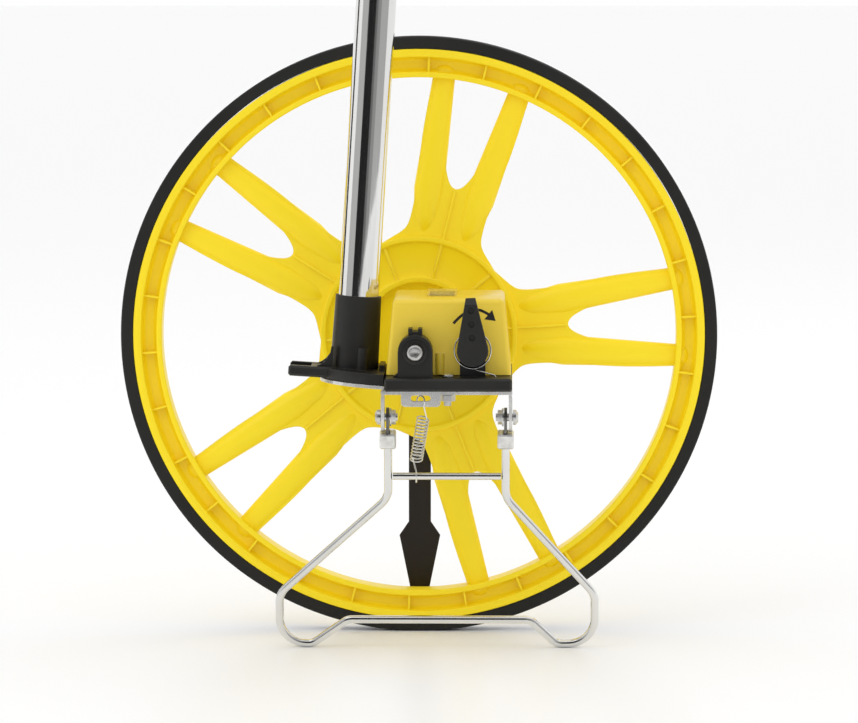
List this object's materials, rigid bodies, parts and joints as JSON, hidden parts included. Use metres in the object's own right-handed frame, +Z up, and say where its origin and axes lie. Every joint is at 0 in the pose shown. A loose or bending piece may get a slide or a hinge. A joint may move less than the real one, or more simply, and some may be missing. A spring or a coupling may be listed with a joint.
{
  "type": "measuring wheel",
  "caption": "Distance measuring wheel: spoked wheel with a rubber tyre on a geared counter, telescopic handle, hanging pointer and folding wire stand.",
  "frame": {"origin": "on the ground, under the middle of the part's box: the tyre and the stand's feet rest at Z = 0", "axes": "+Z up, +Y from the counter towards the wheel, along its axle, +X across the wheel"},
  "size_m": [0.3184, 0.151, 0.5797],
  "materials": {
    "wheel_yellow": "moulded, lightly textured",
    "cover_yellow": "moulded, satin",
    "black_plastic": "moulded, satin",
    "rubber": "matt",
    "chrome": "polished plating",
    "zinc": "bright zinc plating",
    "steel": "bright steel",
    "clear_lens": "clear moulding",
    "white_plastic": "moulded",
    "pointer_paint": "black paint on steel sheet"
  },
  "bodies": {
    "counter": {"counter_base": "black_plastic", "counter_housing": "cover_yellow", "counter_window": "clear_lens", "counter_frame": "zinc", "transfer_shaft": "steel", "front_bush": "black_plastic", "rear_bush": "black_plastic", "main_bracket": "zinc", "handle_plate": "zinc", "handle_socket": "black_plastic", "outer_tube": "chrome", "base_screw_1": "zinc", "base_screw_2": "zinc", "base_nut_1": "zinc", "base_nut_2": "zinc", "plate_screw_1": "zinc", "plate_screw_2": "zinc", "socket_screw_1": "zinc", "socket_screw_2": "zinc", "left_pivot_screw": "zinc", "right_pivot_screw": "zinc", "left_pivot_nut": "zinc", "right_pivot_nut": "zinc", "torsion_spring": "chrome", "extension_spring": "chrome"},
    "wheel": {"wheel": "wheel_yellow", "tyre": "rubber", "axle": "zinc", "axle_end_screw": "steel", "wheel_nut": "zinc", "pointer_washer": "zinc", "pointer_nut": "zinc", "drive_gear": "white_plastic"},
    "pointer": {"pointer": "pointer_paint"},
    "reset": {"reset_lever": "black_plastic", "reset_shaft": "steel", "reset_comb": "white_plastic"},
    "drum_1": {"number_drum_1": "white_plastic", "drum_shaft": "steel", "counter_gear": "white_plastic"},
    "stand": {"stand_wire": "zinc", "stand_crossbar": "zinc", "left_hinge_strip": "zinc", "right_hinge_strip": "zinc", "left_crimp_block": "zinc", "right_crimp_block": "zinc"},
    "lower_lock": {"lower_twist_lock": "black_plastic"},
    "middle_section": {"middle_tube": "chrome"},
    "upper_lock": {"upper_twist_lock": "black_plastic"},
    "top_section": {"inner_tube": "chrome", "grip": "rubber", "end_cap": "black_plastic"},
    "drum_2": {"number_drum_2": "white_plastic"},
    "drum_3": {"number_drum_3": "white_plastic"},
    "drum_4": {"number_drum_4": "white_plastic"},
    "drum_5": {"number_drum_5": "white_plastic"},
    "pinion_1": {"transfer_pinion_1": "white_plastic"},
    "pinion_2": {"transfer_pinion_2": "white_plastic"},
    "pinion_3": {"transfer_pinion_3": "white_plastic"},
    "pinion_4": {"transfer_pinion_4": "white_plastic"}
  },
  "joints": [
    {"name": "wheel_spin", "type": "hinge", "parent": "counter", "child": "wheel", "pos_m": [0, 0.04525, 0.15915], "axis": [0, 1, 0], "continuous": true},
    {"name": "pointer_swing", "type": "hinge", "parent": "counter", "child": "pointer", "pos_m": [0, 0.06785, 0.15915], "axis": [0, 1, 0], "continuous": true},
    {"name": "reset_turn", "type": "hinge", "parent": "counter", "child": "reset", "pos_m": [0.0295, -0.06595, 0.15975], "axis": [0, 1, 0], "range_deg": [0, 50], "stiffness_Nm_per_rad": 0.05, "springref_deg": -17.19},
    {"name": "drum_1_spin", "type": "hinge", "parent": "counter", "child": "drum_1", "pos_m": [0.0132, -0.03925, 0.17282], "axis": [0, 1, 0], "continuous": true},
    {"name": "drum_2_spin", "type": "hinge", "parent": "counter", "child": "drum_2", "pos_m": [0.0132, -0.03925, 0.17282], "axis": [0, 1, 0], "continuous": true},
    {"name": "drum_3_spin", "type": "hinge", "parent": "counter", "child": "drum_3", "pos_m": [0.0132, -0.03925, 0.17282], "axis": [0, 1, 0], "continuous": true},
    {"name": "drum_4_spin", "type": "hinge", "parent": "counter", "child": "drum_4", "pos_m": [0.0132, -0.03925, 0.17282], "axis": [0, 1, 0], "continuous": true},
    {"name": "drum_5_spin", "type": "hinge", "parent": "counter", "child": "drum_5", "pos_m": [0.0132, -0.03925, 0.17282], "axis": [0, 1, 0], "continuous": true},
    {"name": "pinion_1_spin", "type": "hinge", "parent": "counter", "child": "pinion_1", "pos_m": [0.0249, -0.03925, 0.16901], "axis": [0, 1, 0], "continuous": true},
    {"name": "pinion_2_spin", "type": "hinge", "parent": "counter", "child": "pinion_2", "pos_m": [0.0249, -0.03925, 0.16901], "axis": [0, 1, 0], "continuous": true},
    {"name": "pinion_3_spin", "type": "hinge", "parent": "counter", "child": "pinion_3", "pos_m": [0.0249, -0.03925, 0.16901], "axis": [0, 1, 0], "continuous": true},
    {"name": "pinion_4_spin", "type": "hinge", "parent": "counter", "child": "pinion_4", "pos_m": [0.0249, -0.03925, 0.16901], "axis": [0, 1, 0], "continuous": true},
    {"name": "stand_fold", "type": "hinge", "parent": "counter", "child": "stand", "pos_m": [0.0161, -0.05775, 0.12465], "axis": [-1, 0, 0], "range_deg": [0, 95], "deforming": ["extension_spring"]},
    {"name": "lower_lock_twist", "type": "hinge", "parent": "counter", "child": "lower_lock", "pos_m": [-0.01706, -0.02675, 0.40094], "axis": [0.0607, 0, 0.9982], "range_deg": [0, 90]},
    {"name": "middle_slide", "type": "slide", "parent": "counter", "child": "middle_section", "axis": [0.0607, 0, 0.9982], "range_m": [0, 0.235]},
    {"name": "upper_lock_twist", "type": "hinge", "parent": "middle_section", "child": "upper_lock", "pos_m": [-0.0152, -0.02675, 0.43149], "axis": [0.0607, 0, 0.9982], "range_deg": [0, 90]},
    {"name": "top_slide", "type": "slide", "parent": "middle_section", "child": "top_section", "axis": [0.0607, 0, 0.9982], "range_m": [0, 0.235]}
  ],
  "couplings": [
    {"joint": "drum_1_spin", "follows": "wheel_spin", "ratio": -1},
    {"joint": "drum_2_spin", "follows": "wheel_spin", "ratio": -0.1},
    {"joint": "drum_3_spin", "follows": "wheel_spin", "ratio": -0.01},
    {"joint": "drum_4_spin", "follows": "wheel_spin", "ratio": -0.001},
    {"joint": "drum_5_spin", "follows": "wheel_spin", "ratio": -0.0001},
    {"joint": "pinion_1_spin", "follows": "wheel_spin", "ratio": 0.25},
    {"joint": "pinion_2_spin", "follows": "wheel_spin", "ratio": 0.025},
    {"joint": "pinion_3_spin", "follows": "wheel_spin", "ratio": 0.0025},
    {"joint": "pinion_4_spin", "follows": "wheel_spin", "ratio": 0.00025}
  ]
}
